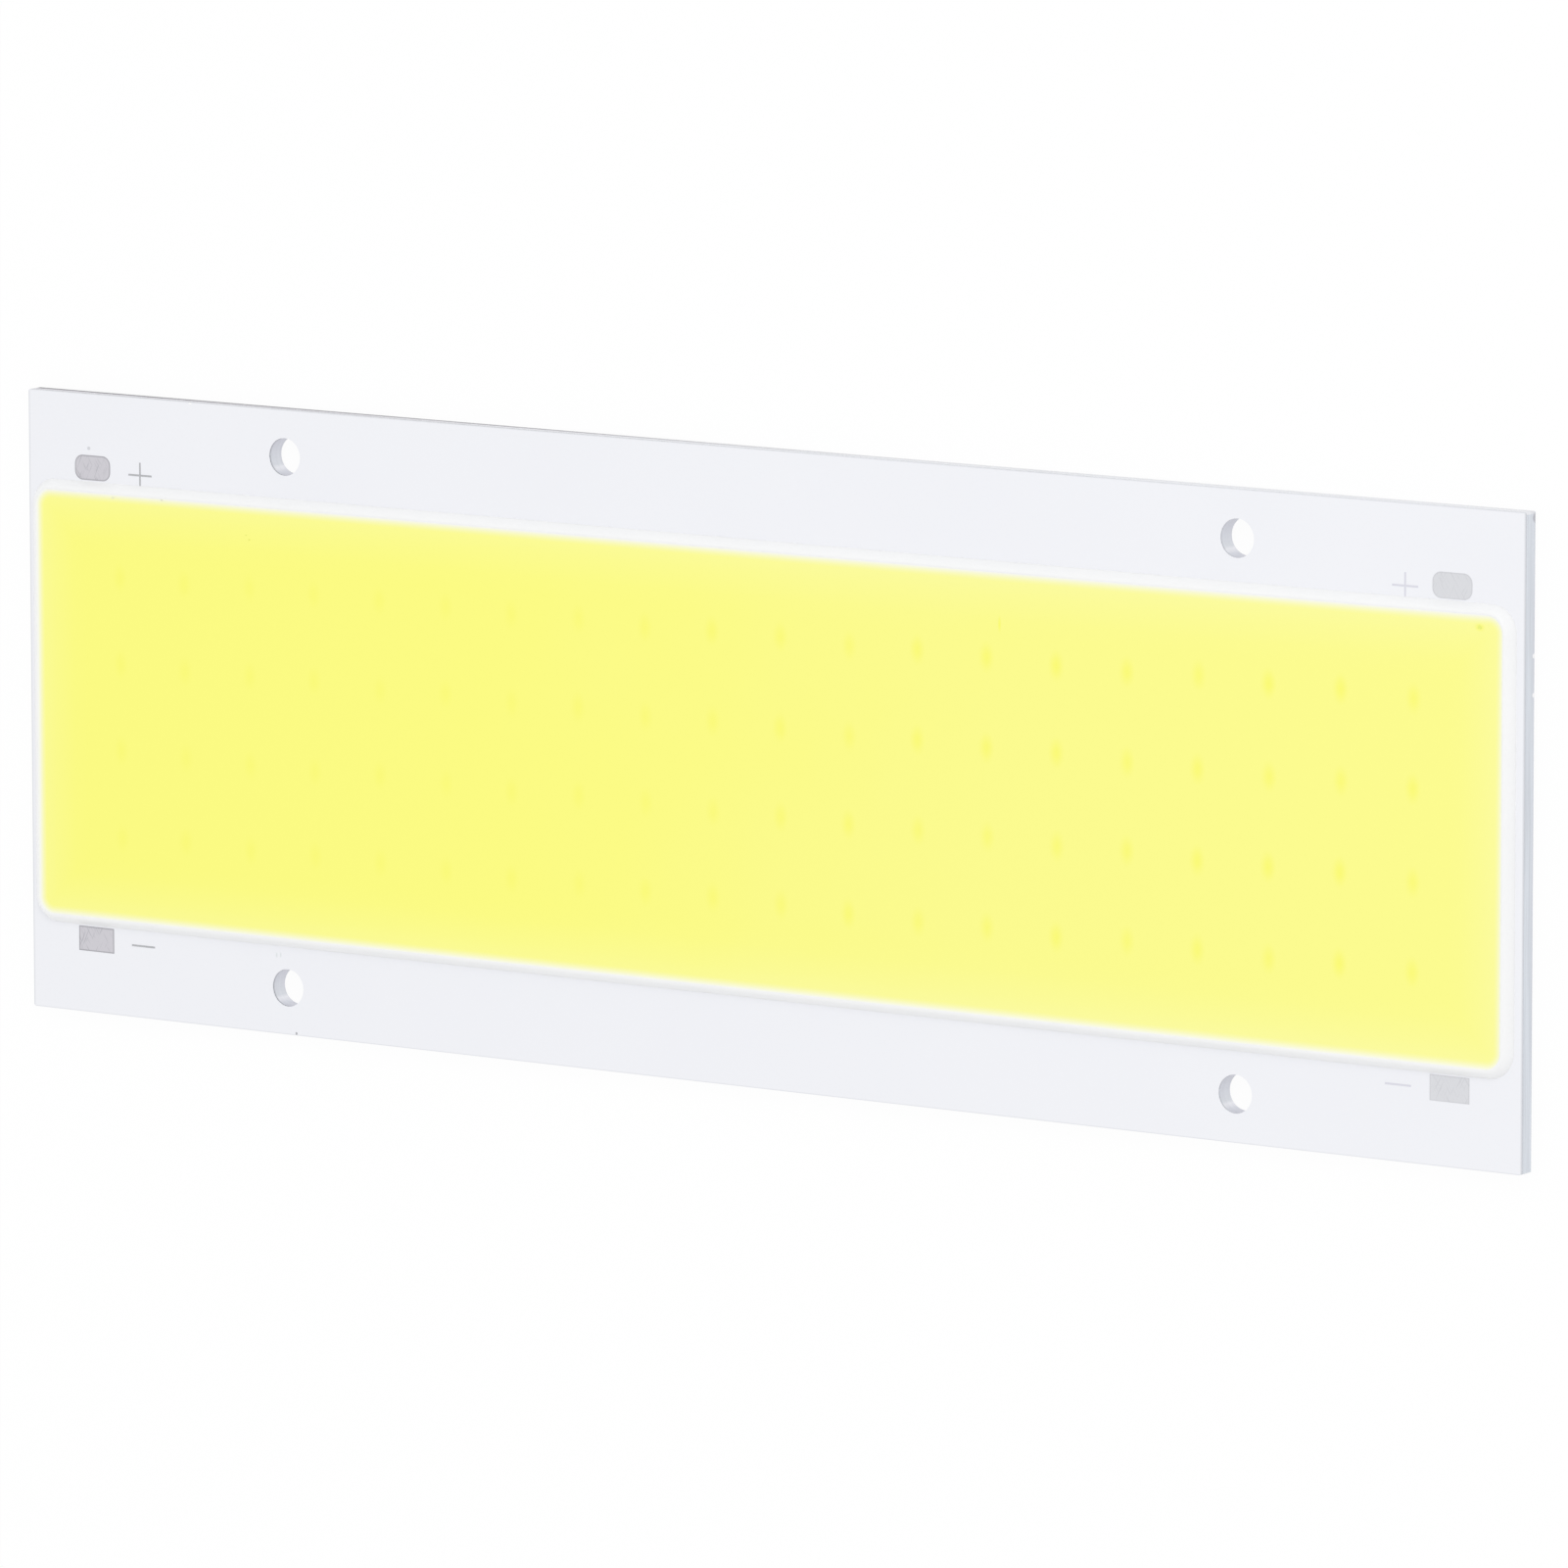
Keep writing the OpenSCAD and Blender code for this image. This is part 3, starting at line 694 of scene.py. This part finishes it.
# A dash over each chip: the place inside one cell of the chips' grid, with a little wander.
in_cells = add_node(phosphor, "ShaderNodeVectorMath", {0: place, 1: (CHIP_PITCH[0], CHIP_PITCH[1], 1)},
                    operation="DIVIDE")
shifted = add_node(phosphor, "ShaderNodeVectorMath",
                   {0: in_cells.outputs[0], 1: (CHIP_COLUMNS, CHIP_ROWS, 0)}, operation="ADD")
cell = add_node(phosphor, "ShaderNodeVectorMath", {0: shifted.outputs[0]}, operation="FLOOR")
wander = add_node(phosphor, "ShaderNodeTexWhiteNoise", {"Vector": cell.outputs[0]}, noise_dimensions="3D")
in_cell = add_node(phosphor, "ShaderNodeVectorMath", {0: shifted.outputs[0]}, operation="FRACTION")
astray = add_node(phosphor, "ShaderNodeVectorMath", {0: wander.outputs["Color"], 1: DASH_WANDER,
                                                     2: in_cell.outputs[0]}, operation="MULTIPLY_ADD")
cell_place = add_node(phosphor, "ShaderNodeVectorMath", {0: astray.outputs[0], 1: DASH_MIDDLE},
                      operation="SUBTRACT")
dash_scale = (CHIP_PITCH[0] / DASH_HALF[0], CHIP_PITCH[1] / DASH_HALF[1], 0)
dash_place = add_node(phosphor, "ShaderNodeVectorMath", {0: cell_place.outputs[0], 1: dash_scale},
                      operation="MULTIPLY")
dash_reach = add_node(phosphor, "ShaderNodeVectorMath", {0: dash_place.outputs[0]}, operation="LENGTH")
dash = add_node(phosphor, "ShaderNodeMapRange", {"Value": dash_reach.outputs["Value"], "From Min": 2.0,
                                                 "From Max": 0.0}, interpolation_type="SMOOTHSTEP")
# The dashes are strongest towards the right, where there is less powder over the chips.
clearer = add_node(phosphor, "ShaderNodeMapRange",
                   {"Value": along.outputs[0], "From Min": CLEARER_FROM_X, "From Max": CLEARER_TO_X,
                    "To Min": DASH_FAINT, "To Max": DASH_CLEAR})
strength = add_node(phosphor, "ShaderNodeMapRange",
                    {"Value": wander.outputs["Value"], "To Min": 0.7, "To Max": 1.0})
strength = add_node(phosphor, "ShaderNodeMath", {0: strength.outputs[0], 1: clearer.outputs[0]},
                    operation="MULTIPLY")
grid_half = (CHIP_COLUMNS * CHIP_PITCH[0] / 2, CHIP_ROWS * CHIP_PITCH[1] / 2, 1)
mirrored = add_node(phosphor, "ShaderNodeVectorMath", {0: place}, operation="ABSOLUTE")
in_grid = add_node(phosphor, "ShaderNodeVectorMath", {0: mirrored.outputs[0], 1: grid_half},
                   operation="SUBTRACT")
grid_sides = add_node(phosphor, "ShaderNodeSeparateXYZ", {0: in_grid.outputs[0]})
grid_edge = add_node(phosphor, "ShaderNodeMath", {0: grid_sides.outputs[0], 1: grid_sides.outputs[1]},
                     operation="MAXIMUM")
is_in_grid = add_node(phosphor, "ShaderNodeMath", {0: grid_edge.outputs[0], 1: 0.0}, operation="LESS_THAN")
dash_mix = add_node(phosphor, "ShaderNodeMath", {0: dash.outputs[0], 1: strength.outputs[0]},
                    operation="MULTIPLY")
dash_mix = add_node(phosphor, "ShaderNodeMath", {0: dash_mix.outputs[0], 1: is_in_grid.outputs[0]},
                    operation="MULTIPLY")
# A lump where the powder has clotted in the right-hand corner, and a painted wire shadow: a darker streak
# past a wire.
for place_mm, half_mm, most in CLOTS_AND_WIRE_SHADOW:
    blot_place = add_node(phosphor, "ShaderNodeVectorMath", {0: place, 1: [c * MM for c in place_mm]},
                          operation="SUBTRACT")
    blot_scale = (1 / (half_mm[0] * MM), 1 / (half_mm[1] * MM), 0)
    blot_place = add_node(phosphor, "ShaderNodeVectorMath", {0: blot_place.outputs[0], 1: blot_scale},
                          operation="MULTIPLY")
    blot_reach = add_node(phosphor, "ShaderNodeVectorMath", {0: blot_place.outputs[0]}, operation="LENGTH")
    blot = add_node(phosphor, "ShaderNodeMapRange",
                    {"Value": blot_reach.outputs["Value"], "From Min": 1.5, "From Max": 0.2,
                     "To Max": most}, interpolation_type="SMOOTHSTEP")
    dash_mix = add_node(phosphor, "ShaderNodeMath", {0: dash_mix.outputs[0], 1: blot.outputs[0]},
                        operation="MAXIMUM")
with_dashes = add_node(phosphor, "ShaderNodeMix", {0: dash_mix.outputs[0], 6: body.outputs[2],
                                                   7: linear(FILL_SHADOW)}, data_type="RGBA")
colour = add_node(phosphor, "ShaderNodeMix", {0: thinness.outputs[0], 6: with_dashes.outputs[2],
                                              7: linear(FILL_RIM)}, data_type="RGBA")
phosphor.node_tree.links.new(colour.outputs[2], shader.inputs["Base Color"])
swell = add_node(phosphor, "ShaderNodeTexNoise", {"Vector": place, "Scale": 220.0, "Detail": 2.0})
bump = add_node(phosphor, "ShaderNodeBump",
                {"Height": swell.outputs[0], "Strength": 0.2, "Distance": SWELL_DEPTH})
phosphor.node_tree.links.new(bump.outputs[0], shader.inputs["Normal"])

bpy.ops.object.select_all(action="DESELECT")
bpy.ops.mesh.primitive_plane_add(size=1, location=(dam_centre.x, dam_centre.y, mask_top))
fill = bpy.context.object
fill.scale = (bead_length - 2 * RIM_INSET, bead_span - 2 * RIM_INSET, 1)
bpy.ops.object.transform_apply(location=True, rotation=False, scale=True)
bpy.ops.object.mode_set(mode="EDIT")
bpy.ops.mesh.select_all(action="SELECT")
bpy.ops.mesh.bevel(offset=BEAD_CORNER - RIM_INSET, segments=BEAD_CORNER_STEPS, affect="VERTICES")
bpy.ops.mesh.select_all(action="SELECT")
bpy.ops.mesh.extrude_region_move(TRANSFORM_OT_translate={"value": (0, 0, RIM_HEIGHT)})
height = RIM_HEIGHT
for width, new_height in RIM_STEPS:
    bpy.ops.mesh.inset(thickness=width)
    bpy.ops.transform.translate(value=(0, 0, new_height - height))
    height = new_height
bpy.ops.mesh.select_all(action="SELECT")
bpy.ops.mesh.normals_make_consistent(inside=False)
bpy.ops.object.mode_set(mode="OBJECT")
bpy.ops.object.shade_smooth_by_angle(angle=math.radians(FILL_SMOOTH_DEGREES))
finish_piece(fill, "phosphor_surface", phosphor)
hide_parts("phosphor_fill")


# ---- Dust and crumbs ----
# Grit and crumbs of cured resin that have settled on the board. Each is a flattened grain a tenth
# or two of a millimetre across, stuck to the face it fell on.
FILL_TOP = mask_top + 0.722 * MM
DAM_SLOPE = FILL_TOP + 0.02 * MM
DAM_SHOULDER = FILL_TOP + 0.04 * MM
GRAIN_JAG = 0.3
GRAIN_LUMPS = 1.3
GRAIN_SPREAD = 7
GRAINS = (
    ("grit_over_pad", (-64.0, 20.6, face_centre.z), (0.15, 0.13, 0.012), "D6D8DC", "white_mask"),
    ("grit_on_edge", (-43.8, -24.84, face_centre.z), (0.1, 0.12, 0.012), "B4B5BA", "white_mask"),
    ("smear_left_of_hole", (-45.7, -18.7, face_centre.z), (0.07, 0.2, 0.01), "E2E6E8", "white_mask"),
    ("smear_by_hole", (-45.3, -18.65, face_centre.z), (0.06, 0.2, 0.01), "E2E6E8", "white_mask"),
    ("chip_of_ink", (-53.9, 24.86, face_centre.z), (0.16, 0.09, 0.012), "FDFDFE", "white_mask"),
    ("crumb_on_dam_1", (-61.1, 16.93, DAM_SLOPE), (0.14, 0.1, 0.012), "F0F0CC", "white_silicone"),
    ("crumb_on_dam_2", (-56.2, 17.08, DAM_SHOULDER), (0.12, 0.07, 0.012), "E8E8D0", "white_silicone"),
    ("crumb_in_fill_1", (-47.9, 14.85, FILL_TOP), (0.12, 0.06, 0.008), "F4F57E", "phosphor_silicone"),
    ("crumb_in_fill_2", (-47.6, 14.5, FILL_TOP), (0.1, 0.08, 0.008), "F0F276", "phosphor_silicone"),
    ("crumb_in_corner", (66.5, 16.23, FILL_TOP), (0.19, 0.14, 0.008), "ECF27A", "phosphor_silicone"),
)

for number, (name, spot_mm, size_mm, tone, slot) in enumerate(GRAINS):
    crumb, shader = new_material("dust_" + name, Roughness=0.8)
    place = add_node(crumb, "ShaderNodeTexCoord").outputs["Object"]
    speckle = add_node(crumb, "ShaderNodeTexNoise", {"Vector": place, "Scale": 15000.0, "Detail": 2.0})
    tint = add_node(crumb, "ShaderNodeMapRange",
                    {"Value": speckle.outputs[0], "To Min": 0.92, "To Max": 1.06})
    colour = add_node(crumb, "ShaderNodeHueSaturation", {"Color": linear(tone), "Value": tint.outputs[0]})
    crumb.node_tree.links.new(colour.outputs[0], shader.inputs["Base Color"])
    bpy.ops.object.select_all(action="DESELECT")
    bpy.ops.mesh.primitive_ico_sphere_add(subdivisions=3, radius=1,
                                          location=(spot_mm[0] * MM, spot_mm[1] * MM, spot_mm[2]))
    grit = bpy.context.object
    for vertex in grit.data.vertices:
        vertex.co *= 1 + GRAIN_JAG * noise.noise(vertex.co * GRAIN_LUMPS + Vector((0, 0,
                                                                                   GRAIN_SPREAD * number)))
    grit.scale = [size * MM for size in size_mm]
    bpy.ops.object.shade_smooth()
    finish_piece(grit, name, crumb)


# ---- Floor and light ----
# A white table under a large soft box, in a white room.
TABLE_WHITE = "FCFCFC"
TABLE_SIZE_M = 6
TABLE_GAP = 0.005 * MM
TABLE_GLOW = 0.95
ROOM_LEVEL = 0.9
SOFT_BOX_PLACE = (0.30, 0.38, 0.50)
SOFT_BOX_SIZE = (0.4, 0.3)
SOFT_BOX_WATTS = 0.66

floor_white, shader = new_material("white_table", Roughness=0.9)
shader.inputs["Base Color"].default_value = linear(TABLE_WHITE)
path = add_node(floor_white, "ShaderNodeLightPath")
seen = add_node(floor_white, "ShaderNodeMath",
                {0: path.outputs["Is Camera Ray"], 1: path.outputs["Is Glossy Ray"]}, operation="MAXIMUM")
seen = add_node(floor_white, "ShaderNodeMath", {0: seen.outputs[0], 1: path.outputs["Is Transmission Ray"]},
                operation="MAXIMUM")
share = add_node(floor_white, "ShaderNodeMath", {0: seen.outputs[0], 1: TABLE_GLOW}, operation="MULTIPLY")
glow = add_node(floor_white, "ShaderNodeEmission", {"Color": (1, 1, 1, 1), "Strength": 1.0})
surface = add_node(floor_white, "ShaderNodeMixShader",
                   {0: share.outputs[0], 1: shader.outputs[0], 2: glow.outputs[0]})
output = floor_white.node_tree.nodes["Material Output"]
floor_white.node_tree.links.new(surface.outputs[0], output.inputs["Surface"])

bpy.ops.object.select_all(action="DESELECT")
bpy.ops.mesh.primitive_plane_add(size=TABLE_SIZE_M, location=(0, 0, -TABLE_GAP))
floor = bpy.context.object
floor.name = "table"
floor.data.materials.append(floor_white)

room = bpy.data.worlds.new("white_room")
bpy.context.scene.world = room
room.use_nodes = True
background = room.node_tree.nodes["Background"]
background.inputs["Color"].default_value = (1, 1, 1, 1)
path = add_node(room, "ShaderNodeLightPath")
seen = add_node(room, "ShaderNodeMath",
                {0: path.outputs["Is Camera Ray"], 1: path.outputs["Is Glossy Ray"]}, operation="MAXIMUM")
seen = add_node(room, "ShaderNodeMath", {0: seen.outputs[0], 1: path.outputs["Is Transmission Ray"]},
                operation="MAXIMUM")
level = add_node(room, "ShaderNodeMapRange",
                 {"Value": seen.outputs[0], "To Min": ROOM_LEVEL, "To Max": 1.0})
room.node_tree.links.new(level.outputs[0], background.inputs["Strength"])

bpy.ops.object.light_add(type="AREA", location=SOFT_BOX_PLACE)
soft_box = bpy.context.object
soft_box.name = "soft_box"
soft_box.data.shape = "RECTANGLE"
soft_box.data.size, soft_box.data.size_y = SOFT_BOX_SIZE
soft_box.data.energy = SOFT_BOX_WATTS
soft_box.rotation_euler = (face_centre - soft_box.location).to_track_quat("-Z", "Y").to_euler()

bpy.context.scene.view_settings.view_transform = "Standard"
